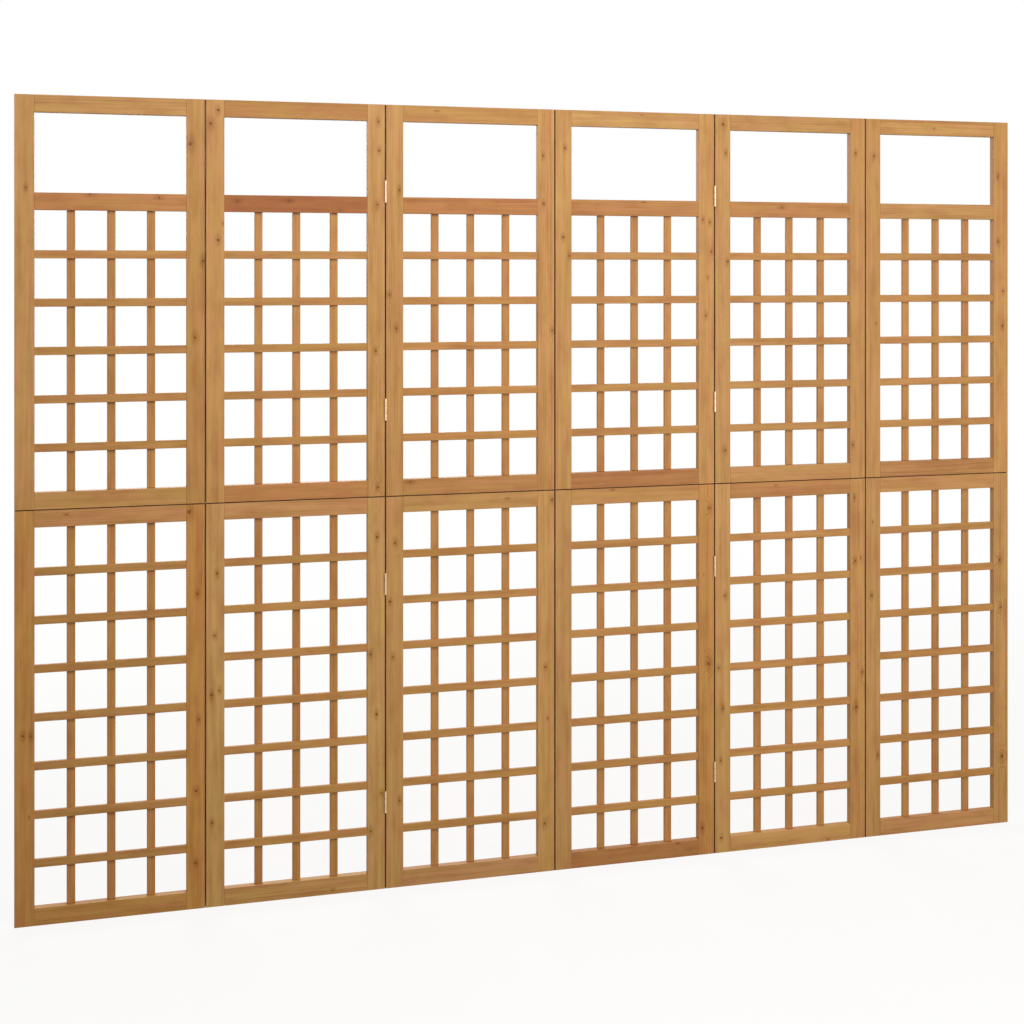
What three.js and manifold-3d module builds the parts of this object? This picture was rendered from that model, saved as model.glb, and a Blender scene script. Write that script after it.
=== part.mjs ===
// A six-leaf folding lattice screen in stained fir, opened out flat.
//
// Each leaf is two glued frames, one standing on the other. The upper frame has an open window
// under its top rail, and both frames hold a square lattice: level slats in front, let into the
// stiles, and upright slats behind them, cut to stand between the rails.
// Butt hinges join neighbouring leaves, their plates let in flush with the stiles' edges. Their
// knuckles stand proud of the front face on one seam and of the back face on the next, so the
// screen folds up like an accordion.
//
// Millimetres. +Z is up, -Y is the front, the leaves run along X. The origin is on the floor, in
// the middle of the screen's length and thickness.

import * as THREE from "three";
import { mergeVertices } from "three/addons/utils/BufferGeometryUtils.js";
import Module from "manifold-3d";

// ---------------------------------------------------------------- driving dimensions

const leafCount = 6;
const leafWidth = 403.6;
const leafGap = 1.2; // between the edges of neighbouring leaves

const upperFrameHeight = 900;
const lowerFrameHeight = 900;
const frameThickness = 18;
const stileWidth = 41;
const railWidth = 38;
const windowHeight = 174; // the open space under the top rail
const arrisEase = 1; // chamfer along every frame edge
const jointLineWidth = 1; // V line where a rail butts against a stile

const latticeColumns = 4;
const upperLatticeRows = 6;
const lowerLatticeRows = 8;
const slatWidth = 18;
const slatSetback = 1.5; // from the frame's face to the slat's face
const slatEase = 1; // chamfer along the front arrises of the level slats
const slatTenon = 10; // length of each level slat's end inside its stile
const mortiseClearance = 0.3; // round a level slat's end in its mortise
const buttClearance = 0.3; // between an upright slat's end and its rail

const dowelDiameter = 8;
const dowelLength = 60;
const dowelClearance = 0.3;

const hingeHeight = 50;
const hingeInset = 200; // from a frame's end to the hinge's centre
const hingePlateWidth = 15;
const hingePlateThickness = 1.1;
const knuckleDiameter = 5.4;
const pinDiameter = 2.6;
const pinClearance = 0.2; // between the pin and the middle knuckle's bore, all round
const knuckleClearance = 0.4; // between a knuckle and the other half's knuckles and plate
const knuckleStandoff = 0.3; // between the knuckles and the plane of the leaf's face
const recessClearance = 0.3; // round a hinge plate's edges in its recess

const knuckleSides = 8;
const pinSides = 6; // of a hinge pin and its bore
const dowelSides = 8;

// ---------------------------------------------------------------- worked-out sizes

const leafPitch = leafWidth + leafGap;
const faceY = frameThickness / 2; // the back face; the front face is at -faceY
const innerWidth = leafWidth - 2 * stileWidth;
const slatDepth = frameThickness / 2 - slatSetback; // two layers share the frame's thickness
const dowelOffset = (leafWidth - stileWidth) / 2; // middle of a stile, from the leaf's middle
const pinRadius = pinDiameter / 2;
const knuckleRadius = knuckleDiameter / 2;
const faceFromPin = knuckleRadius + knuckleStandoff; // from the pin's axis to the leaf's face
const pinOutset = faceY + faceFromPin; // from the leaf's mid-plane to the pin's axis
const knuckleHeight = (hingeHeight - 2 * knuckleClearance) / 3;

const UPPER = { base: lowerFrameHeight, height: upperFrameHeight, rows: upperLatticeRows };
const LOWER = { base: 0, height: lowerFrameHeight, rows: lowerLatticeRows };
const upperWindowBottom = upperFrameHeight - railWidth - windowHeight;
// The lattice opening of each frame, in heights above the frame's own base.
UPPER.lattice = { bottom: railWidth, top: upperWindowBottom - railWidth };
LOWER.lattice = { bottom: railWidth, top: lowerFrameHeight - railWidth };

// ---------------------------------------------------------------- materials

const wood = new THREE.MeshStandardMaterial({ color: 0xb58248, roughness: 0.55, metalness: 0 });
const slatWood = new THREE.MeshStandardMaterial({ color: 0xa8713c, roughness: 0.55, metalness: 0 });
const dowelWood = new THREE.MeshStandardMaterial({ color: 0xd9b98a, roughness: 0.7, metalness: 0 });
const zinc = new THREE.MeshStandardMaterial({ color: 0xc9ccd0, roughness: 0.35, metalness: 1 });

// ---------------------------------------------------------------- solids

const wasm = await Module();
wasm.setup();

// A closed three.js geometry as a solid that can be joined and cut.
function solid(geometry) {
  const bare = geometry.index ? geometry.toNonIndexed() : geometry.clone();
  bare.deleteAttribute("normal");
  bare.deleteAttribute("uv");
  const merged = mergeVertices(bare, 1e-4);
  const mesh = new wasm.Mesh({
    numProp: 3,
    vertProperties: merged.attributes.position.array,
    triVerts: new Uint32Array(merged.index.array),
  });
  return new wasm.Manifold(mesh);
}

// A solid as a three.js geometry with flat-shaded faces.
function geometryOf(made) {
  const mesh = made.getMesh();
  const geometry = new THREE.BufferGeometry();
  geometry.setAttribute("position", new THREE.BufferAttribute(mesh.vertProperties, 3));
  geometry.setIndex(new THREE.BufferAttribute(mesh.triVerts, 1));
  const flat = geometry.toNonIndexed();
  flat.computeVertexNormals();
  return flat;
}

function joined(first, ...others) {
  return others.reduce((whole, piece) => whole.add(solid(piece)), solid(first));
}

// A box between two corners.
function boxBetween(low, high) {
  const size = high.map((value, i) => value - low[i]);
  const middle = high.map((value, i) => (value + low[i]) / 2);
  return new THREE.BoxGeometry(...size).translate(...middle);
}

// An upright round bar. Grown bars have their flats, not their corners, at the given radius.
function uprightBar(radius, low, high, sides, grown = false) {
  const reach = grown ? radius / Math.cos(Math.PI / sides) : radius;
  const bar = new THREE.CylinderGeometry(reach, reach, high - low, sides);
  return bar.rotateX(Math.PI / 2).translate(0, 0, (low + high) / 2);
}

function rectangle(left, bottom, right, top) {
  const path = new THREE.Shape();
  path.moveTo(left, bottom);
  path.lineTo(right, bottom);
  path.lineTo(right, top);
  path.lineTo(left, top);
  path.closePath();
  return path;
}

function range(count) {
  return Array.from({ length: count }, (_, i) => i);
}

// ---------------------------------------------------------------- lattice

// The middles of the slats that divide a length into equal cells.
function slatMiddles(start, end, cells) {
  const cell = (end - start - (cells - 1) * slatWidth) / cells;
  return range(cells - 1).map((i) => start + (i + 1) * (cell + slatWidth) - slatWidth / 2);
}

// The front layer: a slat lying along X, with its front arrises eased and its back at y = 0.
function levelSlat(z) {
  const half = slatWidth / 2;
  const section = new THREE.Shape();
  section.moveTo(-half, 0);
  section.lineTo(-half, -slatDepth + slatEase);
  section.lineTo(-half + slatEase, -slatDepth);
  section.lineTo(half - slatEase, -slatDepth);
  section.lineTo(half, -slatDepth + slatEase);
  section.lineTo(half, 0);
  section.closePath();
  const length = innerWidth + 2 * slatTenon;
  const slat = new THREE.ExtrudeGeometry(section, { depth: length, bevelEnabled: false });
  return slat.translate(0, 0, -length / 2).rotateY(Math.PI / 2).translate(0, 0, z);
}

// The back layer: a slat standing along Z, with its front at y = 0 against the level slats.
function uprightSlat(x, opening) {
  const half = slatWidth / 2;
  const low = [x - half, 0, opening.bottom + buttClearance];
  return boxBetween(low, [x + half, slatDepth, opening.top - buttClearance]);
}

function levelHeights(half) {
  return slatMiddles(half.lattice.bottom, half.lattice.top, half.rows);
}

function uprightPlaces() {
  return slatMiddles(-innerWidth / 2, innerWidth / 2, latticeColumns);
}

function lattice(half) {
  const level = levelHeights(half).map((z) => levelSlat(z));
  const upright = uprightPlaces().map((x) => uprightSlat(x, half.lattice));
  return joined(...level, ...upright);
}

// ---------------------------------------------------------------- frames

// The openings of a frame as heights above its base.
function openingsOf(half) {
  const openings = [half.lattice];
  if (half === UPPER) {
    openings.push({ bottom: upperWindowBottom, top: upperWindowBottom + windowHeight });
  }
  return openings;
}

// Stiles and rails in one outline, every edge eased front and back.
function frameBlank(half) {
  const side = leafWidth / 2 - arrisEase;
  const outline = rectangle(-side, arrisEase, side, half.height - arrisEase);
  for (const opening of openingsOf(half)) {
    const inside = innerWidth / 2 + arrisEase;
    const low = opening.bottom - arrisEase;
    const high = opening.top + arrisEase;
    outline.holes.push(rectangle(-inside, low, inside, high));
  }
  const blank = new THREE.ExtrudeGeometry(outline, {
    depth: frameThickness - 2 * arrisEase,
    bevelEnabled: true,
    bevelThickness: arrisEase,
    bevelSize: arrisEase,
    bevelSegments: 1,
  });
  return blank.rotateX(Math.PI / 2).translate(0, faceY - arrisEase, 0);
}

// V lines on both faces where each rail's ends butt against the stiles.
function jointLines(half) {
  const edges = [0, ...openingsOf(half).flatMap((o) => [o.bottom, o.top]), half.height];
  const lines = [];
  for (const x of [-innerWidth / 2, innerWidth / 2]) {
    for (const y of [-faceY, faceY]) {
      for (const rail of range(edges.length / 2)) {
        const low = edges[2 * rail] - arrisEase;
        const high = edges[2 * rail + 1] + arrisEase;
        lines.push(uprightBar(jointLineWidth / 2, low, high, 4).translate(x, y, 0));
      }
    }
  }
  return lines;
}

// Bores in the stile ends at the seam between the two frames.
function dowelBores(half) {
  const seam = half === UPPER ? 0 : half.height;
  const reach = dowelLength / 2 + dowelClearance;
  const radius = dowelDiameter / 2 + dowelClearance;
  const bore = uprightBar(radius, seam - reach, seam + reach, dowelSides, true);
  return [-1, 1].map((side) => bore.clone().translate(side * dowelOffset, 0, 0));
}

// A square mortise in each stile round the end of each level slat.
function mortises(half) {
  const wide = slatWidth / 2 + mortiseClearance;
  const deep = slatDepth + mortiseClearance;
  const near = innerWidth / 2 - arrisEase;
  const far = innerWidth / 2 + slatTenon + mortiseClearance;
  return levelHeights(half).flatMap((z) => [
    boxBetween([-far, -deep, z - wide], [-near, mortiseClearance, z + wide]),
    boxBetween([near, -deep, z - wide], [far, mortiseClearance, z + wide]),
  ]);
}

// A frame with the hinge halves that are one with it, and the recesses for those that are not.
function frame(half, boredHalves, recesses) {
  const whole = joined(frameBlank(half), ...boredHalves);
  const cuts = [...mortises(half), ...jointLines(half), ...dowelBores(half), ...recesses];
  return cuts.reduce((left, cut) => left.subtract(solid(cut)), whole);
}

// ---------------------------------------------------------------- hinges

// Hinges are drawn for a seam whose knuckles stand proud of the front face. The pin's axis is the
// local Z axis and the leaves' front face is at y = faceFromPin.
// A back seam's hinge is the same one turned half round about the seam.

const knuckleLows = range(3).map((i) => -hingeHeight / 2 + i * (knuckleHeight + knuckleClearance));
const plateNear = knuckleRadius + knuckleClearance; // edge that clears the other half's knuckles
const plateFar = faceFromPin + hingePlateWidth;
const plateTabNear = (pinRadius + pinClearance + knuckleRadius) / 2; // ends within a knuckle's wall

// The outline of a plate, y across and z up, with a tab to each knuckle that it carries.
function plateOutline(carried) {
  const outline = new THREE.Shape();
  outline.moveTo(plateFar, -hingeHeight / 2);
  outline.lineTo(plateFar, hingeHeight / 2);
  outline.lineTo(plateNear, hingeHeight / 2);
  for (const index of [...carried].reverse()) {
    const low = knuckleLows[index];
    const high = low + knuckleHeight;
    outline.lineTo(plateNear, high);
    outline.lineTo(plateTabNear, high);
    outline.lineTo(plateTabNear, low);
    outline.lineTo(plateNear, low);
  }
  outline.lineTo(plateNear, -hingeHeight / 2);
  outline.closePath();
  return outline;
}

// A plate let into the leaf at the given side (-1 left, 1 right) of the seam.
function plate(carried, side) {
  const made = new THREE.ExtrudeGeometry(plateOutline(carried), {
    depth: hingePlateThickness,
    bevelEnabled: false,
  });
  // Outline x becomes y, outline y becomes z and the thickness runs along x.
  const turn = new THREE.Matrix4().makeBasis(
    new THREE.Vector3(0, 1, 0),
    new THREE.Vector3(0, 0, 1),
    new THREE.Vector3(1, 0, 0),
  );
  made.applyMatrix4(turn);
  const near = leafGap / 2;
  return made.translate(side > 0 ? near : -near - hingePlateThickness, 0, 0);
}

// What is cut from the left leaf's edge for a plate, open to the seam and to the leaf's face.
function plateRecess() {
  const beyond = leafGap / 4;
  const high = hingeHeight / 2 + recessClearance;
  const deep = -leafGap / 2 - hingePlateThickness;
  return boxBetween([deep, 0, -high], [-beyond, plateFar + recessClearance, high]);
}

const outerKnuckles = [0, 2];
const middleKnuckle = [1];

function knuckle(index) {
  const low = knuckleLows[index];
  return uprightBar(knuckleRadius, low, low + knuckleHeight, knuckleSides);
}

// The half with the two outer knuckles and the pin fixed in them, on the left leaf.
function pinHalf() {
  const reach = (knuckleHeight + hingeHeight / 3) / 2; // to the outer knuckles' middles
  const pin = uprightBar(pinRadius, -reach, reach, pinSides);
  return joined(plate(outerKnuckles, -1), ...outerKnuckles.map(knuckle), pin);
}

// The half with the bored middle knuckle, on the right leaf. Its plate is one with the wood.
function boredHalf() {
  const bored = joined(plate(middleKnuckle, 1), ...middleKnuckle.map(knuckle));
  const reach = hingeHeight;
  const bore = uprightBar(pinRadius + pinClearance, -reach, reach, pinSides, true);
  return bored.subtract(solid(bore));
}

// Whether the knuckles of the seam to the right of leaf number `left` stand at the front.
function foldsForward(left) {
  return left % 2 === 0;
}

function leafMiddle(leaf) {
  return (leaf - (leafCount + 1) / 2) * leafPitch;
}

function seamMiddle(left) {
  return leafMiddle(left) + leafPitch / 2;
}

function hingeHeights(half) {
  return [hingeInset, half.height - hingeInset];
}

// A hinge half moved from the hinge's own frame to the seam right of leaf number `left`.
function placeAtSeam(geometry, left, z) {
  const front = foldsForward(left);
  const placed = geometry.clone().rotateZ(front ? 0 : Math.PI);
  return placed.translate(seamMiddle(left), front ? -pinOutset : pinOutset, z);
}

// A shape repeated at each hinge of one frame of a leaf, in the leaf's own place.
function atHinges(shape, leaf, half) {
  const seams = [leaf - 1, leaf].filter((left) => left >= 1 && left < leafCount);
  const middle = leafMiddle(leaf);
  return seams.flatMap((left) =>
    hingeHeights(half).map((z) => placeAtSeam(shape, left, z).translate(-middle, 0, 0)),
  );
}

// Pin halves are let into the even leaves and bored halves are one with the odd leaves.
function hingedFrame(leaf, half) {
  const even = leaf % 2 === 0;
  const boredHalves = even ? [] : atHinges(boredHalfShape, leaf, half);
  return frame(half, boredHalves, even ? atHinges(plateRecess(), leaf, half) : []);
}

// ---------------------------------------------------------------- assembly

const screen = new THREE.Group();
const pinHalfShape = geometryOf(pinHalf());
const boredHalfShape = geometryOf(boredHalf());

function addPiece(parent, name, geometry, material, position = [0, 0, 0]) {
  const mesh = new THREE.Mesh(geometry, material);
  mesh.name = name;
  mesh.position.set(...position);
  parent.add(mesh);
}

function addLeaf(leaf) {
  const group = new THREE.Group();
  group.position.x = leafMiddle(leaf);
  screen.add(group);
  for (const [word, half] of [["upper", UPPER], ["lower", LOWER]]) {
    const standing = [0, 0, half.base];
    const frameShape = geometryOf(hingedFrame(leaf, half));
    addPiece(group, `leaf_${leaf}_${word}_frame`, frameShape, wood, standing);
    addPiece(group, `leaf_${leaf}_${word}_lattice`, geometryOf(lattice(half)), slatWood, standing);
  }
  for (const [word, side] of [["left", -1], ["right", 1]]) {
    const dowel = uprightBar(dowelDiameter / 2, -dowelLength / 2, dowelLength / 2, dowelSides);
    const middle = [side * dowelOffset, 0, lowerFrameHeight];
    addPiece(group, `leaf_${leaf}_${word}_dowel`, dowel, dowelWood, middle);
  }
}

function addHinges(left) {
  const heights = [UPPER, LOWER].flatMap((half) =>
    hingeHeights(half).map((z) => half.base + z),
  );
  heights.sort((a, b) => b - a);
  heights.forEach((z, i) => {
    const name = `hinge_${left}_${left + 1}_no_${i + 1}_pin_half`;
    addPiece(screen, name, placeAtSeam(pinHalfShape, left, z), zinc);
  });
}

range(leafCount).forEach((i) => addLeaf(i + 1));
range(leafCount - 1).forEach((i) => addHinges(i + 1));

export default screen;
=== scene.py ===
"""The looks of a six-leaf folding lattice screen in stained fir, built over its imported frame.

Metres. +Z is up and the front faces -Y. Each stile, rail and layer of slats is a piece of its own,
and so is each half of each butt hinge. The dowels at the waist of each leaf are the frame's own.
"""

import math
import random

import bmesh
import bpy
import numpy as np
from mathutils import Matrix, Vector


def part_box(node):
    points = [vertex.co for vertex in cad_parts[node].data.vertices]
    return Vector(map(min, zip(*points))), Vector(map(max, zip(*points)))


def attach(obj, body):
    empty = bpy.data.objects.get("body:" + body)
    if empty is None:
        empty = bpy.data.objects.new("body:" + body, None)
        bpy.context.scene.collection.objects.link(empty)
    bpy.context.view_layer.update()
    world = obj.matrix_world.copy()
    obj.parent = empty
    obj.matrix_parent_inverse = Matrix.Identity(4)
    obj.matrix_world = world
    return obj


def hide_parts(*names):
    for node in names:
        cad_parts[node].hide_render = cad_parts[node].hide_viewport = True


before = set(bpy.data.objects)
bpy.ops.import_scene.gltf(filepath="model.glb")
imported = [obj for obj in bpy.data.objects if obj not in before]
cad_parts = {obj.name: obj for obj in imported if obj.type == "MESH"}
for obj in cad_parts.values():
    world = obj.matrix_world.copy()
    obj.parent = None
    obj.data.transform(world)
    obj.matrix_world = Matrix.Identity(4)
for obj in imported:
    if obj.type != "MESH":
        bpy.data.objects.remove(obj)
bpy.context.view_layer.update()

# ------------------------------------------------------------------ sizes

LEAVES = 6
FACE = 0.009  # from a leaf's mid-plane to its front or back
STILE_WIDTH = 0.041
RAIL_WIDTH = 0.038
BOARD_ARRIS = 0.0010  # rounding along the stiles and rails
ARRIS_STEPS = 3

SLAT_WIDTH = 0.018
SLAT_DEPTH = 0.0075
SLAT_END = 0.010  # let into the stile
SLAT_ARRIS = 0.0011
POCKET_ROOM = 0.0003  # round a slat's end in its pocket
BUTT_ROOM = 0.0003  # between an upright slat's end and its rail
UPPER_ROWS = 6  # of openings in an upper lattice
LOWER_ROWS = 8
COLUMNS = 4

WAIST_LINE = 0.0008  # the dark line where the upper frame stands on the lower one
BORE_RADIUS = 0.0043  # for a dowel
BORE_DEPTH = 0.0303
CUT_OVERRUN = 0.001  # how far a cutter reaches past an open side

CAD_SEAM_GAP = 0.0012
SEAM_GAP = 0.00076  # as drawn, narrow enough to look dark
SWELL = (CAD_SEAM_GAP - SEAM_GAP) / 2  # what a drawn stile gains at a seam
HINGES_PER_SEAM = 4  # the first two are on the upper frames
HINGE_INSET = 0.200  # from a frame's end to the middle of its hinge
HINGE_HEIGHT = 0.050
KNUCKLE_RADIUS = 0.0027
KNUCKLE_ROOM = 0.0004
KNUCKLE_STANDOFF = 0.0003  # from the knuckles to the leaf's face
PIN_RADIUS = 0.0013
PLATE_THICKNESS = 0.0011
PLATE_WIDTH = 0.015
RECESS_ROOM = 0.0003  # round a plate in the stile's edge
SCREW_RADIUS = 0.0028

# ------------------------------------------------------------------ finishes


def shade(red, green, blue):
    """A colour written as it looks, 0 to 255, as the four numbers a shader takes."""
    parts = [value / 255 for value in (red, green, blue)]
    linear = [p / 12.92 if p <= 0.04045 else ((p + 0.055) / 1.055) ** 2.4 for p in parts]
    return (*linear, 1)


WHITE = (1, 1, 1, 1)
SOAKED_FIR = shade(150, 84, 34)  # where the stain sank in deeper
END_GRAIN_FIR = shade(112, 66, 30)
RUBBED_FIR = shade(206, 158, 98)  # barer wood on worn arrises
KNOT_BROWN = shade(132, 78, 30)
KNOT_HEART = shade(92, 50, 14)
# Painted shade: the dark of the narrow gaps at the seams and at the waist
PAINTED_GAP_SHADE = shade(52, 22, 3)
GREENER = (0.99, 1.04, 0.92, 1)  # the two ends of the fir's wander in hue, as factors
REDDER = (1.02, 0.955, 1.02, 1)


class Wire:
    """One value in a recipe. Arithmetic on it adds Math nodes."""

    def __init__(self, recipe, socket):
        self.recipe = recipe
        self.socket = socket

    def __add__(self, other):
        return self.recipe.math("ADD", self, other)

    def __sub__(self, other):
        return self.recipe.math("SUBTRACT", self, other)

    def __mul__(self, other):
        return self.recipe.math("MULTIPLY", self, other)

    def __truediv__(self, other):
        return self.recipe.math("DIVIDE", self, other)

    __radd__ = __add__


class Recipe:
    """The node tree of one finish."""

    def __init__(self, owner):
        owner.use_nodes = True
        self.tree = owner.node_tree
        self.tree.nodes.clear()

    def node(self, kind, settings=None, **values):
        """Adds a node. Its settings go first, then a value or a link for each named socket."""
        made = self.tree.nodes.new(kind)
        for key, value in (settings or {}).items():
            if key == "stops":
                self.set_stops(made.color_ramp.elements, value)
            else:
                setattr(made, key, value)
        for key, value in values.items():
            socket = next(s for s in made.inputs if s.identifier == key.replace("__", " "))
            if isinstance(value, Wire):
                self.tree.links.new(value.socket, socket)
            else:
                socket.default_value = value
        return {output.identifier: Wire(self, output) for output in made.outputs}

    @staticmethod
    def set_stops(elements, stops):
        """Turns a colour ramp into a curve of (position, grey) pairs."""
        while len(elements) < len(stops):
            elements.new(1)
        for element, (position, grey) in zip(elements, stops):
            element.position = position
            element.color = (grey, grey, grey, 1)

    def math(self, operation, first, second=0.0):
        settings = {"operation": operation}
        return self.node("ShaderNodeMath", settings, Value=first, Value_001=second)["Value"]

    def vector(self, operation, first, second, third=(0, 0, 0)):
        settings = {"operation": operation}
        values = {"Vector": first, "Vector_001": second, "Vector_002": third}
        return self.node("ShaderNodeVectorMath", settings, **values)["Vector"]

    def blend(self, share, first, second, kind="MIX"):
        settings = {"data_type": "RGBA", "blend_type": kind}
        values = {"Factor_Float": share, "A_Color": first, "B_Color": second}
        return self.node("ShaderNodeMix", settings, **values)["Result_Color"]

    def noise(self, place, stretch, detail=2.0, roughness=0.5):
        """Soft noise, finer by `stretch` in each direction, between 0 and 1."""
        spread = self.vector("MULTIPLY", place, stretch)
        values = {"Vector": spread, "Scale": 1.0, "Detail": detail, "Roughness": roughness}
        return self.node("ShaderNodeTexNoise", **values)["Fac"]

    def ease(self, value, start, end):
        """0 at start, 1 at end and smooth between them. Start may lie above end."""
        settings = {"interpolation_type": "SMOOTHSTEP"}
        values = {"Value": value, "From__Min": start, "From__Max": end}
        return self.node("ShaderNodeMapRange", settings, **values)["Result"]

    def mark(self, name, kind="Vector"):
        """What the meshes say under this name, as a Vector or as one number, a Fac."""
        return self.node("ShaderNodeAttribute", {"attribute_name": name})[kind]

    def parts(self, vector):
        found = self.node("ShaderNodeSeparateXYZ", Vector=vector)
        return found["X"], found["Y"], found["Z"]

    def seen(self):
        """1 for what the camera sees, straight or in a mirror, and 0 for scattered light."""
        paths = self.node("ShaderNodeLightPath")
        return paths["Is Camera Ray"] + paths["Is Glossy Ray"] + paths["Is Transmission Ray"]

    def bump(self, height, strength, distance):
        values = {"Strength": strength, "Distance": distance, "Height": height}
        return self.node("ShaderNodeBump", **values)["Normal"]

    def surface(self, **values):
        made = self.node("ShaderNodeBsdfPrincipled", **values)
        self.node("ShaderNodeOutputMaterial", Surface=made["BSDF"])


KNOT_MARKS = [f"knot_{number}" for number in range(1, 6)]


def knot_masks(fir, along, across, wobble, name):
    """Where one knot of a board shows, by the mark that gives its place and its radius.

    Its core, its dark heart, the stained grain round it, and how far it pushes the rings aside.
    """
    knot_along, knot_across, radius = fir.parts(fir.mark(name))
    ahead = (along - knot_along) * 1.1
    aside = across - knot_across
    span = fir.math("MAXIMUM", radius, 1e-5)
    across_knot = aside * aside
    rings_out = fir.math("SQRT", ahead * ahead + across_knot) / span + wobble
    core = fir.ease(rings_out, 1.05, 0.6)
    heart = fir.ease(rings_out, 0.6, 0.15)
    # The grain round a knot is drawn out along the board.
    flow = fir.math("SQRT", ahead * ahead * 0.2 + across_knot) / span + wobble * 0.5
    halo = fir.ease(flow, 2.8, 0.6)
    return core, heart, halo, fir.ease(flow, 4.5, 0.0) * radius


def growth_rings(fir, place, grain, push):
    """Late wood in cylinders about the pith, which runs beside the board and a little askew."""
    along, across, depth = fir.parts(grain)
    pith_across, pith_depth, lean = fir.parts(fir.mark("pith"))
    bend = (fir.noise(place, (1.6, 12, 12)) - 0.5) * 0.022
    aside = across - pith_across - along * lean + bend
    behind = depth - pith_depth
    from_pith = fir.math("SQRT", aside * aside + behind * behind) + push * 1.2
    in_ring = fir.math("FRACT", from_pith / fir.mark("ring_width", "Fac"))
    # Each ring darkens slowly outwards and ends sharply.
    stops = [(0.0, 0.0), (0.5, 0.12), (0.82, 0.85), (0.92, 1.0), (1.0, 0.1)]
    return fir.node("ShaderNodeValToRGB", {"stops": stops}, Fac=in_ring)["Color"]


def stained_fir(name, early, late, contrast):
    """Sawn fir under a thin satin stain: rings, fibres, blotches, knots and rubbed arrises."""
    material = bpy.data.materials.new(name)
    fir = Recipe(material)
    grain = fir.mark("grain")
    # Each stick reads the noises at a place of its own.
    place = fir.vector("MULTIPLY_ADD", fir.mark("seed", "Fac"), (3.1, 1.7, 2.3), grain)
    along, across, _ = fir.parts(grain)

    wobble = (fir.noise(place, (170, 230, 200), 3) - 0.5) * 1.7
    knots = [knot_masks(fir, along, across, wobble, mark) for mark in KNOT_MARKS]
    *masks, pushes = zip(*knots)
    core, heart, halo = [fir.math("MINIMUM", sum(mask), 1) for mask in masks]
    late_wood = growth_rings(fir, place, grain, sum(pushes))

    fibres = fir.noise(place, (14, 900, 900), 3, 0.6)
    streaks = fir.noise(place, (4, 105, 80), 3, 0.6)
    blotches = fir.noise(place, (13, 34, 30), 3, 0.6)
    warmth = fir.noise(place, (9, 77, 60), 3, 0.6)

    strength = fir.noise(place, (3, 40, 40)) * contrast
    figure = (streaks - 0.5) * 1.15 + (blotches - 0.5) * 0.4
    dark = late_wood * strength + (fibres - 0.5) * 0.35 + figure + halo * 0.40 + 0.12
    wood = fir.blend(fir.math("MINIMUM", fir.math("MAXIMUM", dark, 0), 1), early, late)
    wood = fir.blend(fir.ease(blotches, 0.45, 0.72) * 0.16, wood, SOAKED_FIR)
    hue = fir.blend(fir.ease(warmth, 0.36, 0.64), GREENER, REDDER)
    wood = fir.blend(1.0, wood, hue, "MULTIPLY")
    wood = fir.vector("MULTIPLY", wood, fir.mark("tint"))
    wood = fir.blend(fir.mark("end_grain", "Fac") * 0.6, wood, END_GRAIN_FIR)
    worn = fir.ease(fir.noise(place, (55, 260, 260)), 0.42, 0.7)
    wood = fir.blend(fir.mark("arris", "Fac") * worn * 0.5, wood, RUBBED_FIR)
    wood = fir.blend(core * 0.8, wood, KNOT_BROWN)
    wood = fir.blend(heart * 0.72, wood, KNOT_HEART)
    # Painted shade: the last millimetre or two beside the next frame is darkened, standing for the
    # shade in the narrow gap between the frames.
    from_waist, from_seam, _ = fir.parts(fir.mark("from_next"))
    nearest = fir.math("MINIMUM", from_waist * 1.6, from_seam)
    gap_shade = fir.mark("open_side", "Fac") * fir.ease(nearest, 0.0018, 0.0009)
    wood = fir.blend(gap_shade * 0.94, wood, PAINTED_GAP_SHADE)

    relief = late_wood * 0.35 + fibres * 0.5 - core * 0.3 + streaks * 0.15
    fir.surface(
        Base__Color=wood,
        Roughness=0.52 + (fibres - 0.5) * 0.16 - late_wood * 0.05 - core * 0.1,
        Normal=fir.bump(relief, 0.35, 0.00035),
        Specular__IOR__Level=0.2,
    )
    return material


def plain_beech(name):
    """The dowels: pale unstained beech with fine flecks."""
    material = bpy.data.materials.new(name)
    beech = Recipe(material)
    place = beech.node("ShaderNodeTexCoord")["Object"]
    flecks = beech.ease(beech.noise(place, (900, 900, 120)), 0.56, 0.7)
    bands = beech.noise(place, (260, 260, 9))
    wood = beech.blend(bands, shade(214, 178, 132), shade(190, 148, 102))
    wood = beech.blend(flecks * 0.5, wood, shade(150, 106, 66))
    beech.surface(
        Base__Color=wood,
        Roughness=0.6 + flecks * 0.12,
        Normal=beech.bump(bands, 0.3, 0.0002),
    )
    return material


def zinc_plate(name):
    """Bright zinc on steel, warm cream as a painted reflection of the stained wood beside it, with
    a cloudy sheen, fine drawn lines and dull handling marks.
    """
    material = bpy.data.materials.new(name)
    zinc = Recipe(material)
    place = zinc.node("ShaderNodeTexCoord")["Object"]
    clouds = zinc.noise(place, (260, 260, 180), 3, 0.6)
    lines = zinc.noise(place, (3200, 3200, 160))
    marks = zinc.ease(zinc.noise(place, (420, 420, 300), 4, 0.7), 0.58, 0.7)
    # Painted reflection: the metal's warm cream stands for the stained wood it mirrors.
    metal = zinc.blend(clouds, shade(222, 198, 162), shade(196, 172, 136))
    metal = zinc.blend(marks * 0.45, metal, shade(150, 130, 100))
    zinc.surface(
        Base__Color=metal,
        Metallic=1.0,
        Roughness=0.26 + clouds * 0.14 + marks * 0.15,
        Normal=zinc.bump(lines + marks * 0.5, 0.25, 0.0001),
    )
    return material


BOARD_FIR = stained_fir("stained_fir_boards", shade(201, 152, 93), shade(152, 99, 47), 0.7)
SLAT_FIR = stained_fir("stained_fir_slats", shade(198, 146, 86), shade(147, 93, 43), 0.6)
BEECH = plain_beech("plain_beech_dowels")
ZINC = zinc_plate("zinc_plated_steel")
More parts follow.
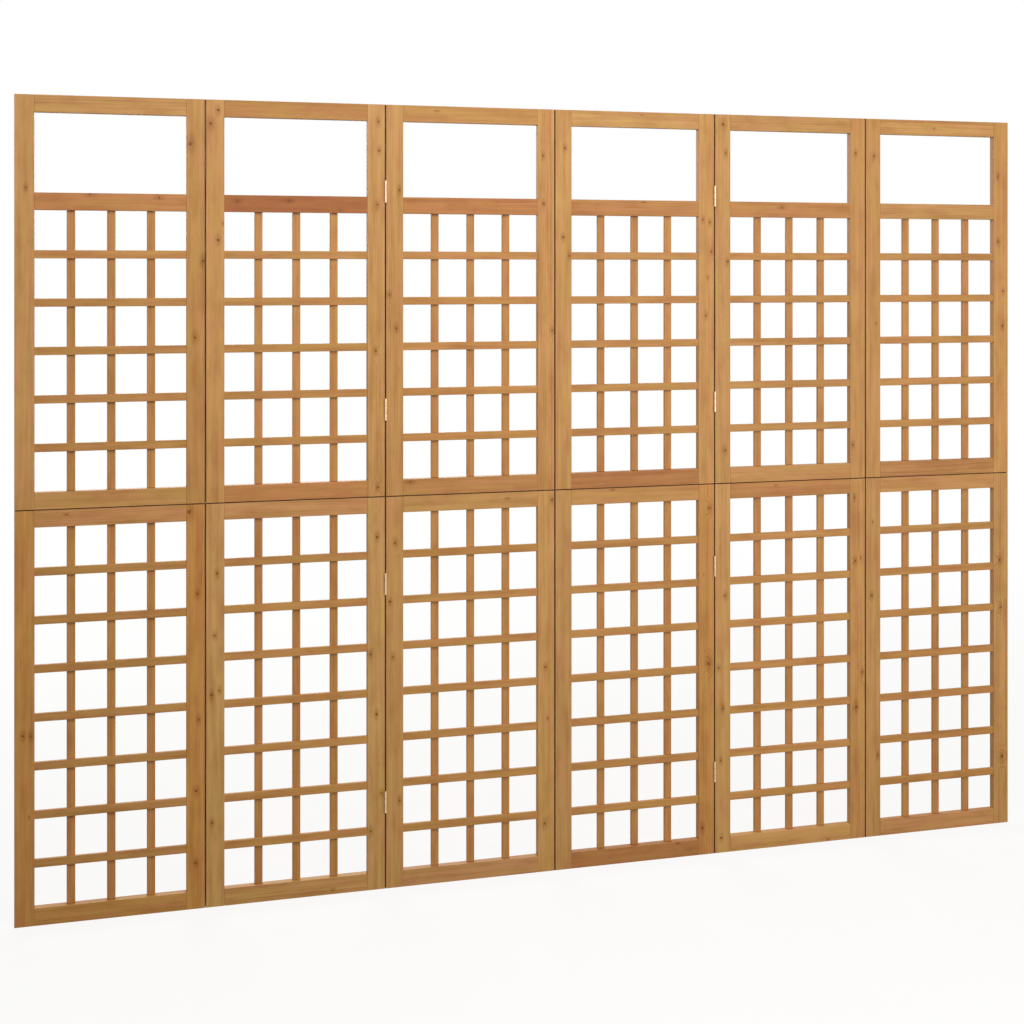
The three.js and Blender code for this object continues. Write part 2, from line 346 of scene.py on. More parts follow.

# ------------------------------------------------------------------ the timber's marks, and where shade is painted

# How a stain differs from the plain one: factors of red, green and blue. On the upright slats,
# ruddy is partly a redder stain and partly painted shade for their place behind the level slats.
TINTS = {
    "plain": (1.0, 1.0, 1.0),
    "russet": (0.71, 0.50, 0.51),
    "brick": (0.85, 0.70, 0.70),
    "reddish": (0.93, 0.82, 0.82),
    "ruddy": (0.98, 0.94, 0.96),
    "deep": (0.92, 0.88, 0.80),
    "umber": (0.84, 0.79, 0.68),
    "honey": (1.0, 0.94, 0.80),
    "pale": (1.05, 1.09, 1.12),
    "palest": (1.13, 1.19, 1.23),
    "rosy": (0.99, 0.95, 1.08),
}

# The boards whose stain looks different in the photo.
BOARD_TINTS = {
    "leaf_1_window_rail": "reddish",
    "leaf_1_upper_left_stile": "pale",
    "leaf_1_upper_right_stile": "deep",
    "leaf_1_lower_top_rail": "rosy",
    "leaf_1_lower_left_stile": "honey",
    "leaf_1_lower_right_stile": "honey",
    "leaf_1_bottom_rail": "honey",
    "leaf_2_window_rail": "russet",
    "leaf_2_upper_bottom_rail": "reddish",
    "leaf_2_top_rail": "umber",
    "leaf_2_lower_left_stile": "palest",
    "leaf_2_lower_right_stile": "palest",
    "leaf_2_lower_top_rail": "rosy",
    "leaf_3_top_rail": "deep",
    "leaf_3_window_rail": "brick",
    "leaf_3_upper_bottom_rail": "reddish",
    "leaf_3_lower_right_stile": "pale",
    "leaf_3_bottom_rail": "rosy",
    "leaf_4_window_rail": "reddish",
    "leaf_4_upper_bottom_rail": "brick",
    "leaf_4_bottom_rail": "brick",
    "leaf_4_top_rail": "pale",
    "leaf_4_upper_left_stile": "pale",
    "leaf_4_lower_right_stile": "honey",
    "leaf_5_window_rail": "reddish",
    "leaf_5_lower_top_rail": "reddish",
    "leaf_5_bottom_rail": "pale",
    "leaf_5_lower_left_stile": "pale",
    "leaf_6_bottom_rail": "rosy",
    "leaf_6_upper_bottom_rail": "reddish",
    "leaf_6_lower_top_rail": "ruddy",
}

# Knots seen on the front, leaf by leaf: across from the leaf's middle, height, radius.
KNOTS = {
    1: [
        (0.170, 1.700, 0.0062), (0.198, 1.440, 0.0048), (0.180, 1.270, 0.0044),
        (-0.178, 1.598, 0.0030), (-0.045, 1.585, 0.0040), (0.102, 1.580, 0.0034),
        (-0.120, 1.240, 0.0032), (0.167, 0.883, 0.0058), (0.185, 0.700, 0.0036),
        (0.188, 0.420, 0.0036), (0.182, 0.262, 0.0040), (0.182, 0.102, 0.0036),
        (-0.184, 0.413, 0.0036), (-0.168, 0.411, 0.0030), (0.123, 0.348, 0.0030),
        (0.007, 0.453, 0.0030),
    ],
    2: [
        (-0.175, 1.777, 0.0040), (-0.191, 1.746, 0.0046), (-0.175, 1.487, 0.0040),
        (0.186, 1.760, 0.0034), (0.188, 1.694, 0.0034), (0.184, 1.570, 0.0036),
        (0.180, 1.235, 0.0036), (-0.133, 1.574, 0.0034), (-0.018, 1.576, 0.0034),
        (0.185, 0.922, 0.0036), (-0.177, 0.743, 0.0036), (-0.182, 0.605, 0.0036),
        (-0.189, 0.473, 0.0036), (-0.172, 0.482, 0.0032), (-0.188, 0.188, 0.0034),
        (0.183, 0.808, 0.0038), (0.168, 0.541, 0.0032), (0.182, 0.402, 0.0038),
        (0.193, 0.220, 0.0034), (0.168, 0.135, 0.0040), (-0.002, 0.385, 0.0030),
        (-0.118, 0.766, 0.0028),
    ],
    3: [
        (-0.170, 1.604, 0.0034), (-0.193, 1.363, 0.0032), (-0.177, 1.286, 0.0034),
        (0.173, 1.690, 0.0036), (0.175, 1.577, 0.0032), (0.195, 1.277, 0.0034),
        (0.080, 1.336, 0.0028), (-0.116, 1.350, 0.0028), (-0.145, 0.931, 0.0036),
        (0.195, 0.877, 0.0036), (-0.180, 0.792, 0.0040), (-0.192, 0.658, 0.0034),
        (-0.185, 0.530, 0.0036), (-0.170, 0.200, 0.0034), (0.179, 0.483, 0.0032),
        (0.177, 0.114, 0.0042), (0.010, 0.136, 0.0032),
    ],
    4: [
        (-0.177, 1.709, 0.0034), (-0.182, 1.498, 0.0036), (-0.167, 1.454, 0.0030),
        (0.172, 1.543, 0.0032), (0.190, 1.537, 0.0034), (0.194, 1.465, 0.0034),
        (0.180, 1.310, 0.0036), (-0.001, 1.393, 0.0028), (0.189, 0.842, 0.0038),
        (0.186, 0.463, 0.0052), (0.171, 0.065, 0.0044), (-0.090, 0.436, 0.0030),
        (0.121, 0.444, 0.0034),
    ],
    5: [
        (-0.180, 1.776, 0.0050), (-0.173, 1.706, 0.0034), (-0.168, 1.441, 0.0034),
        (-0.175, 0.981, 0.0040), (0.176, 1.713, 0.0034), (0.168, 0.984, 0.0034),
        (-0.024, 1.574, 0.0034), (-0.175, 0.626, 0.0038), (-0.192, 0.451, 0.0034),
        (-0.181, 0.351, 0.0036), (-0.186, 0.225, 0.0034), (-0.185, 0.036, 0.0034),
        (0.172, 0.852, 0.0034), (0.175, 0.694, 0.0036), (0.194, 0.415, 0.0036),
        (0.177, 0.328, 0.0046), (0.075, 0.824, 0.0028),
    ],
    6: [
        (-0.178, 1.706, 0.0034), (0.173, 1.661, 0.0034), (0.173, 1.494, 0.0034),
        (0.188, 1.366, 0.0034), (0.186, 1.277, 0.0036), (-0.185, 0.604, 0.0038),
        (-0.168, 0.203, 0.0036), (0.178, 0.676, 0.0044), (0.180, 0.555, 0.0046),
        (0.184, 0.171, 0.0044), (-0.119, 0.350, 0.0030), (-0.008, 0.244, 0.0034),
    ],
}

X, Y, Z = range(3)
FAR_OFF = 9.0
NO_KNOT = (0.0, FAR_OFF, 0.0)
SMALL_KNOT_CHANCE = 0.4  # of one more knot on a board with fewer than it has marks for
END_FACING = 0.9  # a face whose normal lies further than this along the grain is end grain
FLAT_FACING = 0.985  # one whose normal lies no further than this along any axis is an arris


class Stick:
    """One straight length of timber between two corners, with its own place in its tree."""

    # The sides, as (axis, -1 or 1), where the next frame lies close and the wood beside it is
    # darkened as painted shade of the gap.
    tight_sides = ()

    def __init__(self, name, low, high, along, leaf_x, knots, usual_tint="plain"):
        self.low = Vector(low)
        self.high = Vector(high)
        self.along = along
        self.across = Z if along == X else X
        luck = random.Random(name)
        self.seed = luck.uniform(0, 40)
        self.ring_width = luck.uniform(0.0015, 0.0032)
        # The tree's pith: how far across, how far behind the face, and its lean.
        self.pith = (
            luck.choice((-1, 1)) * luck.uniform(0.0, 0.075),
            luck.choice((-1, 1)) * luck.uniform(0.012, 0.05),
            luck.uniform(-0.012, 0.012),
        )
        warmth = luck.uniform(-0.03, 0.03)
        depth = luck.uniform(0.95, 1.05)
        red, green, blue = TINTS[BOARD_TINTS.get(name, usual_tint)]
        self.tint = (red * depth, green * (depth - warmth), blue * (depth - 2 * warmth))
        self.knots = [
            self.own_place(leaf_x + x, z, radius)
            for x, z, radius in knots
            if self.holds(leaf_x + x, z)
        ]
        if len(self.knots) < len(KNOT_MARKS) and luck.random() < SMALL_KNOT_CHANCE:
            width = self.high[self.across] - self.low[self.across]
            length = self.high[along] - self.low[along]
            place = (luck.uniform(0.1, 0.9) * length, luck.uniform(-0.42, 0.42) * width)
            self.knots.append((*place, luck.uniform(0.0012, 0.0024)))

    def holds(self, x, z):
        room = 0.002
        inside_x = self.low.x - room < x < self.high.x + room
        return inside_x and self.low.z - room < z < self.high.z + room

    def own_place(self, x, z, radius):
        """A knot's place along the stick from its low end and across from its middle."""
        along, across = (x, z) if self.along == X else (z, x)
        middle = (self.low[self.across] + self.high[self.across]) / 2
        return along - self.low[self.along], across - middle, radius


def write_mark(mesh, name, domain, values):
    """Writes one number or one vector for each of a mesh's points or faces."""
    kind, key = ("FLOAT", "value") if values.ndim == 1 else ("FLOAT_VECTOR", "vector")
    layer = mesh.attributes.new(name, kind, domain)
    layer.data.foreach_set(key, values.astype(np.float32).ravel())


def mark_timber(mesh, sticks):
    """Writes each stick's grain, tint, knots and tight sides on its own points and faces."""
    count = len(mesh.vertices)
    places = np.empty(count * 3)
    mesh.vertices.foreach_get("co", places)
    places = places.reshape(-1, 3)
    owner = np.zeros(count, dtype=np.int32)
    if len(sticks) > 1:
        mesh.attributes["stick"].data.foreach_get("value", owner)
    along, across = sticks[0].along, sticks[0].across
    grain = np.zeros((count, 3))
    for index, stick in enumerate(sticks):
        mine = owner == index
        middle = (stick.low[across] + stick.high[across]) / 2
        grain[mine, 0] = places[mine, along] - stick.low[along]
        grain[mine, 1] = places[mine, across] - middle
        grain[mine, 2] = places[mine, Y]
    write_mark(mesh, "grain", "POINT", grain)
    for name in ("seed", "ring_width", "pith", "tint"):
        own = np.array([getattr(stick, name) for stick in sticks])
        write_mark(mesh, name, "POINT", own[owner])
    for number, name in enumerate(KNOT_MARKS):
        knots = [s.knots[number] if number < len(s.knots) else NO_KNOT for s in sticks]
        write_mark(mesh, name, "POINT", np.array(knots)[owner])

    normals = np.array([tuple(face.normal) for face in mesh.polygons])
    facing = np.abs(normals)
    write_mark(mesh, "end_grain", "FACE", (facing[:, along] > END_FACING).astype(float))
    write_mark(mesh, "arris", "FACE", (facing.max(axis=1) < FLAT_FACING).astype(float))

    # How far each point is from the waist and from the seam, and which faces aren't inside them.
    from_next = np.full((count, 3), FAR_OFF)
    open_side = np.ones(len(normals))
    for axis, sign in sticks[0].tight_sides:
        side = sticks[0].high[axis] if sign > 0 else sticks[0].low[axis]
        from_next[:, 0 if axis == Z else 1] = np.abs(places[:, axis] - side)
        open_side[normals[:, axis] * sign > FLAT_FACING] = 0
    write_mark(mesh, "from_next", "POINT", from_next)
    write_mark(mesh, "open_side", "FACE", open_side)


# ------------------------------------------------------------------ making pieces


def show(name, data):
    made = bpy.data.objects.new(name, data)
    bpy.context.collection.objects.link(made)
    return made


def dress(piece, body, finish, nodes):
    """Gives a piece its finish and sets it on its body in place of its frame nodes."""
    piece.data.materials.clear()
    piece.data.materials.append(finish)
    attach(piece, body)
    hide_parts(*nodes)


SMOOTH_BELOW = math.radians(40)


def soften(piece):
    """Rounded arrises shade as round and flat faces stay flat."""
    piece.data.shade_smooth()
    piece.data.set_sharp_from_angle(angle=SMOOTH_BELOW)
    even = piece.modifiers.new("flat_faces_stay_flat", "WEIGHTED_NORMAL")
    even.keep_sharp = True


def mesh_of(shape, name):
    """The shape's mesh. The shape itself is used up."""
    mesh = bpy.data.meshes.new(name)
    shape.to_mesh(mesh)
    shape.free()
    return mesh


def box_into(shape, low, high):
    middle, size = (Vector(low) + Vector(high)) / 2, Vector(high) - Vector(low)
    where = Matrix.Translation(middle) @ Matrix.Diagonal((*size, 1))
    bmesh.ops.create_cube(shape, size=1, matrix=where)


def round_bar_into(shape, x, z, radius, reach):
    bmesh.ops.create_cone(
        shape, cap_ends=True, segments=20, radius1=radius, radius2=radius, depth=2 * reach,
        matrix=Matrix.Translation((x, 0, z)),
    )


def rounded_sticks(name, sticks, arris):
    """The sticks as one mesh, every arris rounded, each stick's points numbered."""
    shape = bmesh.new()
    owner = shape.verts.layers.int.new("stick")
    for index, stick in enumerate(sticks):
        for vertex in shape.verts:
            vertex.tag = True
        box_into(shape, stick.low, stick.high)
        new_edges = [edge for edge in shape.edges if not edge.verts[0].tag]
        bmesh.ops.bevel(
            shape, geom=new_edges, offset=arris, offset_type="OFFSET", segments=ARRIS_STEPS,
            profile=0.5, affect="EDGES",
        )
        for vertex in shape.verts:
            if not vertex.tag:
                vertex[owner] = index
    return mesh_of(shape, name)


def cut_away(piece, tools):
    """Cuts closed shapes out of a piece's mesh."""
    mesh = mesh_of(tools, "cutters")
    cutter = show("cutters", mesh)
    cut = piece.modifiers.new("cut", "BOOLEAN")
    cut.operation = "DIFFERENCE"
    cut.solver = "EXACT"
    cut.object = cutter
    evaluated = piece.evaluated_get(bpy.context.evaluated_depsgraph_get())
    left = bpy.data.meshes.new_from_object(evaluated)
    piece.modifiers.clear()
    piece.data = left
    bpy.data.objects.remove(cutter)
    bpy.data.meshes.remove(mesh)


# Each kind of timber: its arris, finish and slot.
BOARD = (BOARD_ARRIS, BOARD_FIR, "frame_wood")
SLAT = (SLAT_ARRIS, SLAT_FIR, "slat_wood")


def timber(name, body, node, sticks, stuff, tools=None):
    """A piece made of one stick or of a layer of like ones, cut, marked and finished."""
    arris, finish, slot = stuff
    piece = show(name, rounded_sticks(name, sticks, arris))
    if tools:
        cut_away(piece, tools)
    mark_timber(piece.data, sticks)
    soften(piece)
    dress(piece, body, finish, [node])


# ------------------------------------------------------------------ leaves


def between(start, end, cells):
    """The middles of the slats that divide a length into equal cells."""
    cell = (end - start - (cells - 1) * SLAT_WIDTH) / cells
    return [start + (i + 1) * (cell + SLAT_WIDTH) - SLAT_WIDTH / 2 for i in range(cells - 1)]


def level_stick(name, middle, inner, z, knots):
    reach, half = inner + SLAT_END, SLAT_WIDTH / 2
    low = (middle - reach, -SLAT_DEPTH, z - half)
    return Stick(name, low, (middle + reach, 0, z + half), X, middle, knots)


def upright_stick(name, x, bottom, top, middle, knots):
    half = SLAT_WIDTH / 2
    low = (x - half, 0, bottom + BUTT_ROOM)
    high = (x + half, SLAT_DEPTH, top - BUTT_ROOM)
    # The uprights' ruddy tint is partly a redder stain and partly painted shade, for lying behind
    # the level slats.
    return Stick(name, low, high, Z, middle, knots, "ruddy")


def folds_forward(seam):
    """Whether the knuckles of the seam to the right of this leaf number stand at the front."""
    return seam % 2 == 0


def stile_cuts(inside, sign, slat_heights, waist, hinge_heights, forward):
    """Pockets for the level slats, a bore for the dowel and recesses for the hinge plates."""
    tools = bmesh.new()
    wide, deep = SLAT_WIDTH / 2 + POCKET_ROOM, SLAT_DEPTH + POCKET_ROOM
    open_end, blind_end = inside - sign * 2 * CUT_OVERRUN, inside + sign * (SLAT_END + POCKET_ROOM)
    near, far = sorted((open_end, blind_end))
    for z in slat_heights:
        box_into(tools, (near, -deep, z - wide), (far, POCKET_ROOM, z + wide))
    round_bar_into(tools, inside + sign * STILE_WIDTH / 2, waist, BORE_RADIUS, BORE_DEPTH)
    outside = inside + sign * (STILE_WIDTH + SWELL)
    near, far = sorted((outside - sign * PLATE_THICKNESS, outside + sign * CUT_OVERRUN))
    reach, half = FACE - PLATE_WIDTH - RECESS_ROOM, HINGE_HEIGHT / 2 + RECESS_ROOM
    past = FACE + CUT_OVERRUN
    low_y, high_y = (-past, -reach) if forward else (reach, past)
    for z in hinge_heights:
        box_into(tools, (near, low_y, z - half), (far, high_y, z + half))
    return tools


def build_half(leaf, word, rows, rails):
    """The stiles, rails and slats of a leaf's upper or lower frame."""
    body = f"leaf_{leaf}"
    frame_node, lattice_node = f"{body}_{word}_frame", f"{body}_{word}_lattice"
    lattice_low, lattice_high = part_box(lattice_node)
    frame_low, frame_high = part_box(frame_node)
    middle = (lattice_low.x + lattice_high.x) / 2
    inner = (lattice_high.x - lattice_low.x) / 2 - SLAT_END
    bottom, top = lattice_low.z - BUTT_ROOM, lattice_high.z + BUTT_ROOM
    waist = frame_low.z if word == "upper" else frame_high.z
    waist_side = (Z, -1 if word == "upper" else 1)
    hinge_heights = [frame_low.z + HINGE_INSET, frame_high.z - HINGE_INSET]
    # Each frame stops half the waist line short of the other.
    base = frame_low.z + (WAIST_LINE / 2 if word == "upper" else 0)
    head = frame_high.z - (WAIST_LINE / 2 if word == "lower" else 0)
    knots = KNOTS[leaf]
    heights = between(bottom, top, rows)

    for side, sign, seam in (("left", -1, leaf - 1), ("right", 1, leaf)):
        name = f"{body}_{word}_{side}_stile"
        at_seam = 0 < seam < LEAVES
        inside = middle + sign * inner
        near, far = sorted((inside, inside + sign * (STILE_WIDTH + SWELL * at_seam)))
        stick = Stick(name, (near, -FACE, base), (far, FACE, head), Z, middle, knots)
        stick.tight_sides = [waist_side, (X, sign)] if at_seam else [waist_side]
        hinged = hinge_heights if at_seam else []
        tools = stile_cuts(inside, sign, heights, waist, hinged, folds_forward(seam))
        timber(name, body, frame_node, [stick], BOARD, tools)

    for rail, rail_bottom, rail_top in rails(base, head, bottom, top):
        name = f"{body}_{rail}"
        low = (middle - inner, -FACE, rail_bottom)
        stick = Stick(name, low, (middle + inner, FACE, rail_top), X, middle, knots)
        at_waist = min(abs(rail_bottom - waist), abs(rail_top - waist)) < RAIL_WIDTH / 2
        stick.tight_sides = [waist_side] if at_waist else []
        timber(name, body, frame_node, [stick], BOARD)

    name = f"{body}_{word}_level_slats"
    sticks = [
        level_stick(f"{name}_{i}", middle, inner, z, knots) for i, z in enumerate(heights)
    ]
    timber(name, body, lattice_node, sticks, SLAT)
    name = f"{body}_{word}_upright_slats"
    sticks = [
        upright_stick(f"{name}_{i}", x, bottom, top, middle, knots)
        for i, x in enumerate(between(middle - inner, middle + inner, COLUMNS))
    ]
    timber(name, body, lattice_node, sticks, SLAT)


def upper_rails(base, head, bottom, top):
    """Each rail's name, bottom and top. The window is open between the first two."""
    return [
        ("top_rail", head - RAIL_WIDTH, head),
        ("window_rail", top, top + RAIL_WIDTH),
        ("upper_bottom_rail", base, bottom),
    ]


def lower_rails(base, head, bottom, top):
    return [("lower_top_rail", top, head), ("bottom_rail", base, bottom)]


# ------------------------------------------------------------------ hinges

# A hinge is drawn with the pin's axis along Z at the origin, the left leaf at -X and the leaves
# behind it at +Y. On a seam that folds the other way it is turned half round. The plates are let
# in flush with the stiles' edges.

KNUCKLE_HEIGHT = (HINGE_HEIGHT - 2 * KNUCKLE_ROOM) / 3
KNUCKLE_EASE = 0.0003  # off each rim
PIN_ROOM = 0.00008
PIN_EASE = 0.0004
PIN_SHORT = 0.0002  # from a hinge's end to its pin's
PLATE_NEAR = KNUCKLE_RADIUS + KNUCKLE_ROOM
FACE_FROM_PIN = KNUCKLE_RADIUS + KNUCKLE_STANDOFF
STAMPED_EDGE = 0.0001
CORNER_RADIUS = 0.0025
CORNER_POINTS = 5  # on a rounded corner, its two ends among them
HAIR = 1e-5  # by which a knuckle's tab is narrower than the knuckle
SCREW_PLACES = [(0.0128, -0.0175), (0.0090, 0.0), (0.0128, 0.0175)]
SCREW_POINTS = 16
# From the plate's open face down to a screw's head, the floor of its cross, and its underside.
SCREW_DEPTHS = (0.00005, 0.00065, 0.00100)
SCREW_TAPER = 0.0003  # how much smaller the underside is
HOLE_ROOM = 0.0001  # round a screw's head in its plate
CROSS_REACH = 0.0016
CROSS_ARM = 0.0004  # half a slot's width
BARREL_POINTS = 24
PIN_POINTS = 20


def circle(y, z, radius, count, start=0.0, turn=2 * math.pi):
    steps = [start + turn * i / count for i in range(count)]
    return [(y + radius * math.cos(a), z + radius * math.sin(a)) for a in steps]


def knuckle_span(index):
    """The bottom and top of a knuckle, counted upwards from 0."""
    low = -HINGE_HEIGHT / 2 + index * (KNUCKLE_HEIGHT + KNUCKLE_ROOM)
    return low, low + KNUCKLE_HEIGHT


def plate_outline(carried):
    """Across and up: rounded far corners, and a tab that runs into each carried knuckle."""
    half = HINGE_HEIGHT / 2
    corner = (FACE_FROM_PIN + PLATE_WIDTH - CORNER_RADIUS, half - CORNER_RADIUS)
    quarter = math.pi / 2
    turn = quarter * CORNER_POINTS / (CORNER_POINTS - 1)
    outline = circle(corner[0], -corner[1], CORNER_RADIUS, CORNER_POINTS, -quarter, turn)
    outline += circle(*corner, CORNER_RADIUS, CORNER_POINTS, 0.0, turn)
    outline.append((PLATE_NEAR, half))
    tab = (PIN_RADIUS + KNUCKLE_RADIUS) / 2
    for index in reversed(carried):
        low, high = knuckle_span(index)
        low, high = low + HAIR, high - HAIR
        outline += [(PLATE_NEAR, high), (tab, high), (tab, low), (PLATE_NEAR, low)]
    outline.append((PLATE_NEAR, -half))
    return outline


def cross_outline(y, z, reach, arm):
    """Two crossed slots, each `reach` long and `arm` wide to either side of its middle."""
    corner = [(reach, arm), (arm, arm), (arm, reach)]
    turned = [[(-v, u) for u, v in corner], [(-u, -v) for u, v in corner]]
    turned.append([(v, -u) for u, v in corner])
    return [(y + u, z + v) for part in [corner, *turned] for u, v in part]


def stamped(outlines, low, high, edge):
    """Flat metal cut to outlines, with rounded edges, from x = low to x = high."""
    curve = bpy.data.curves.new("stamped", "CURVE")
    curve.dimensions = "2D"
    curve.fill_mode = "BOTH"
    curve.extrude = (high - low) / 2 - edge
    curve.bevel_depth = edge
    curve.bevel_resolution = 0
    curve.offset = -edge
    for outline in outlines:
        spline = curve.splines.new("POLY")
        spline.points.add(len(outline) - 1)
        for point, (u, v) in zip(spline.points, outline):
            point.co = (u, v, 0, 1)
        spline.use_cyclic_u = True
    holder = show("stamped", curve)
    evaluated = holder.evaluated_get(bpy.context.evaluated_depsgraph_get())
    mesh = bpy.data.meshes.new_from_object(evaluated)
    bpy.data.objects.remove(holder)
    bpy.data.curves.remove(curve)
    # The curve's own X, Y and Z become the hinge's Y, Z and X.
    turn = Matrix(((0, 0, 1, (low + high) / 2), (1, 0, 0, 0), (0, 1, 0, 0), (0, 0, 0, 1)))
    mesh.transform(turn)
    return mesh


def lathed(profile, count, closed):
    """A shape of revolution about Z from (radius, height) pairs."""
    shape = bmesh.new()
    rings = []
    for radius, height in profile:
        places = [(x, y, height) for x, y in circle(0, 0, radius, count)]
        rings.append([shape.verts.new(place) for place in places])
    next_rings = rings[1:] + rings[:1] if closed else rings[1:]
    for near, far in zip(rings, next_rings):
        for i in range(count):
            j = (i + 1) % count
            shape.faces.new((near[i], near[j], far[j], far[i]))
    if not closed:
        shape.faces.new(reversed(rings[0]))
        shape.faces.new(rings[-1])
    bmesh.ops.recalc_face_normals(shape, faces=shape.faces)
    return mesh_of(shape, "lathed")


def knuckle(index):
    """A rolled barrel with eased rims, open round the pin."""
    low, high = knuckle_span(index)
    bore, eased = PIN_RADIUS + PIN_ROOM, KNUCKLE_RADIUS - KNUCKLE_EASE
    profile = [(bore, low), (eased, low), (KNUCKLE_RADIUS, low + KNUCKLE_EASE)]
    profile += [(KNUCKLE_RADIUS, high - KNUCKLE_EASE), (eased, high), (bore, high)]
    return lathed(profile, BARREL_POINTS, closed=True)


def pin():
    reach, eased = HINGE_HEIGHT / 2 - PIN_SHORT, PIN_RADIUS - PIN_EASE
    profile = [(eased, -reach), (PIN_RADIUS, -reach + PIN_EASE)]
    profile += [(PIN_RADIUS, reach - PIN_EASE), (eased, reach)]
    return lathed(profile, PIN_POINTS, closed=False)


def screw_head(side, y, z):
    """A flat countersunk head with a cross recess, level with the plate's open face."""
    face, floor, under = [side * (SEAM_GAP / 2 + depth) for depth in SCREW_DEPTHS]
    top = [circle(y, z, SCREW_RADIUS, SCREW_POINTS), cross_outline(y, z, CROSS_REACH, CROSS_ARM)]
    base = [circle(y, z, SCREW_RADIUS - SCREW_TAPER, SCREW_POINTS)]
    return [
        stamped(top, *sorted((face, floor)), STAMPED_EDGE),
        stamped(base, *sorted((floor, under)), STAMPED_EDGE / 2),
    ]


def gather(name, meshes):
    """Several meshes as one. The meshes themselves are used up."""
    shape = bmesh.new()
    for mesh in meshes:
        shape.from_mesh(mesh)
        bpy.data.meshes.remove(mesh)
    return mesh_of(shape, name)


def hinge_half(carried, side, with_pin):
    """One plate of a hinge, at -X or +X by its side, with its screws and carried knuckles."""
    near, far = sorted((side * SEAM_GAP / 2, side * (SEAM_GAP / 2 + PLATE_THICKNESS)))
    holes = [circle(y, z, SCREW_RADIUS + HOLE_ROOM, SCREW_POINTS) for y, z in SCREW_PLACES]
    parts = [stamped([plate_outline(carried), *holes], near, far, STAMPED_EDGE)]
    for y, z in SCREW_PLACES:
        parts += screw_head(side, y, z)
    parts += [knuckle(index) for index in carried]
    if with_pin:
        parts.append(pin())
    return gather("hinge_half", parts)


def leaf_middle(leaf):
    low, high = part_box(f"leaf_{leaf}_upper_lattice")
    return (low.x + high.x) / 2


def build_hinges(left, pinned, bored):
    """The hinges on the seam to the right of leaf number `left`."""
    forward = folds_forward(left)
    pin_leaf, bored_leaf = (left, left + 1) if forward else (left + 1, left)
    seam_x = (leaf_middle(left) + leaf_middle(left + 1)) / 2
    outset = FACE + FACE_FROM_PIN
    turn = Matrix.Identity(4) if forward else Matrix.Rotation(math.pi, 4, "Z")
    for number in range(1, HINGES_PER_SEAM + 1):
        hinge = f"hinge_{left}_{left + 1}_no_{number}"
        low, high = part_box(f"{hinge}_pin_half")
        place = Vector((seam_x, -outset if forward else outset, (low.z + high.z) / 2))
        where = Matrix.Translation(place) @ turn
        word = "upper" if number <= HINGES_PER_SEAM / 2 else "lower"
        halves = [
            ("pin_plate", pinned, pin_leaf, f"{hinge}_pin_half"),
            ("bored_plate", bored, bored_leaf, f"leaf_{bored_leaf}_{word}_frame"),
        ]
        for kind, pattern, leaf, node in halves:
            mesh = pattern.copy()
            mesh.transform(where)
            piece = show(f"{hinge}_{kind}", mesh)
            soften(piece)
            dress(piece, f"leaf_{leaf}", ZINC, [node])


# ------------------------------------------------------------------ assembly

for leaf in range(1, LEAVES + 1):
    build_half(leaf, "upper", UPPER_ROWS, upper_rails)
    build_half(leaf, "lower", LOWER_ROWS, lower_rails)
    for side in ("left", "right"):
        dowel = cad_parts[f"leaf_{leaf}_{side}_dowel"]
        dowel.material_slots[0].material = BEECH

pin_pattern = hinge_half([0, 2], -1, with_pin=True)
bored_pattern = hinge_half([1], 1, with_pin=False)
for left in range(1, LEAVES):
    build_hinges(left, pin_pattern, bored_pattern)

# ------------------------------------------------------------------ floor, light and camera


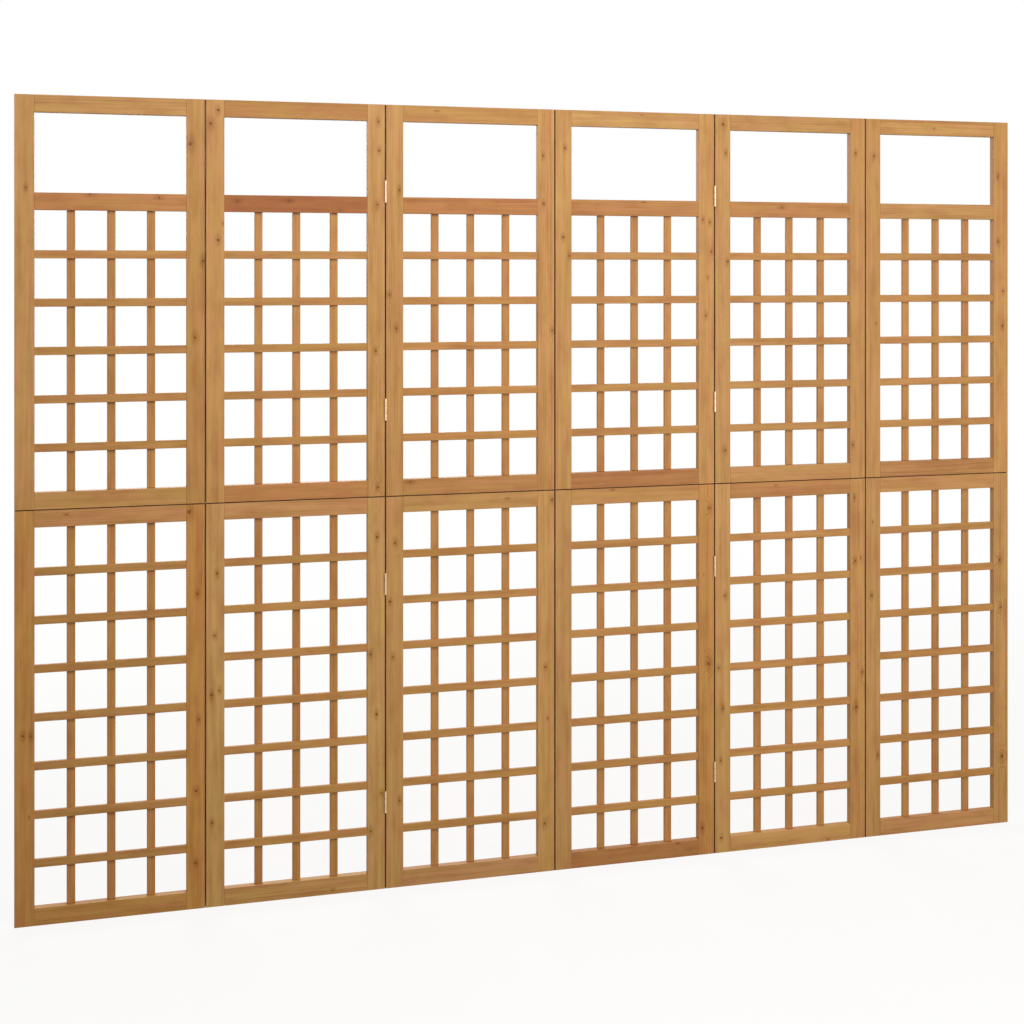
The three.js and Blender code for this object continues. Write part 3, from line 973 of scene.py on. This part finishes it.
def studio_floor():
    """A pale floor that looks white and keeps a soft shadow, but throws little light back up."""
    material = bpy.data.materials.new("studio_floor")
    floor = Recipe(material)
    x, y, _ = floor.parts(floor.node("ShaderNodeTexCoord")["Object"])
    far_off = floor.ease(floor.math("SQRT", x * x + y * y), 1.2, 4.5)
    matt = floor.node("ShaderNodeBsdfDiffuse", Color=WHITE)["BSDF"]
    white = floor.node("ShaderNodeEmission", Color=WHITE, Strength=1.0)["Emission"]
    values = {"Fac": 0.86 + far_off * 0.14, "Shader": matt, "Shader_001": white}
    shown = floor.node("ShaderNodeMixShader", **values)["Shader"]
    dull = floor.node("ShaderNodeBsdfDiffuse", Color=(0.22, 0.215, 0.21, 1))["BSDF"]
    values = {"Fac": floor.seen(), "Shader": dull, "Shader_001": shown}
    both = floor.node("ShaderNodeMixShader", **values)["Shader"]
    floor.node("ShaderNodeOutputMaterial", Surface=both)
    shape = bmesh.new()
    bmesh.ops.create_grid(shape, x_segments=24, y_segments=24, size=30)
    mesh = mesh_of(shape, "floor")
    mesh.materials.append(material)
    show("floor", mesh)


def studio_world():
    """White where it is seen or mirrored, and a plain pale light elsewhere."""
    world = bpy.data.worlds.new("studio")
    bpy.context.scene.world = world
    sky = Recipe(world)
    room = sky.node("ShaderNodeBackground", Color=(1, 0.90, 0.74, 1), Strength=0.28)
    white = sky.node("ShaderNodeBackground", Color=WHITE, Strength=1.0)
    values = {"Fac": sky.seen(), "Shader": room["Background"], "Shader_001": white["Background"]}
    both = sky.node("ShaderNodeMixShader", **values)["Shader"]
    sky.node("ShaderNodeOutputWorld", Surface=both)


def soft_box(name, place, aim, width, height, power):
    light = bpy.data.lights.new(name, "AREA")
    light.shape = "RECTANGLE"
    light.size, light.size_y = width, height
    light.energy = power
    lamp = show(name, light)
    lamp.location = place
    lamp.rotation_euler = (Vector(aim) - Vector(place)).to_track_quat("-Z", "Y").to_euler()


def camera():
    """Level, a little left of the screen's middle, turned to the right, its view shifted down."""
    lens = bpy.data.cameras.new("camera")
    lens.lens = 51.32
    lens.sensor_width = 36
    lens.shift_y = -0.2338
    eye = show("camera", lens)
    eye.location = (-0.9649, -3.3255, 1.4142)
    eye.rotation_euler = (math.radians(90), 0, math.radians(-14.54))
    bpy.context.scene.camera = eye


studio_floor()
studio_world()
# Two boxes in front, for the photo's even light, and one behind, for views of the back.
soft_box("high_soft_box", (-0.4, -2.2, 2.6), (-0.3, 0, 1.4), 1.6, 1.6, 47)
soft_box("side_soft_box", (1.8, -2.8, 1.2), (1.3, 0, 1.0), 1.6, 1.6, 42)
soft_box("rear_soft_box", (-0.4, 3.4, 2.4), (0, 0, 0.9), 3.0, 1.8, 75)
camera()
bpy.context.scene.view_settings.view_transform = "Standard"
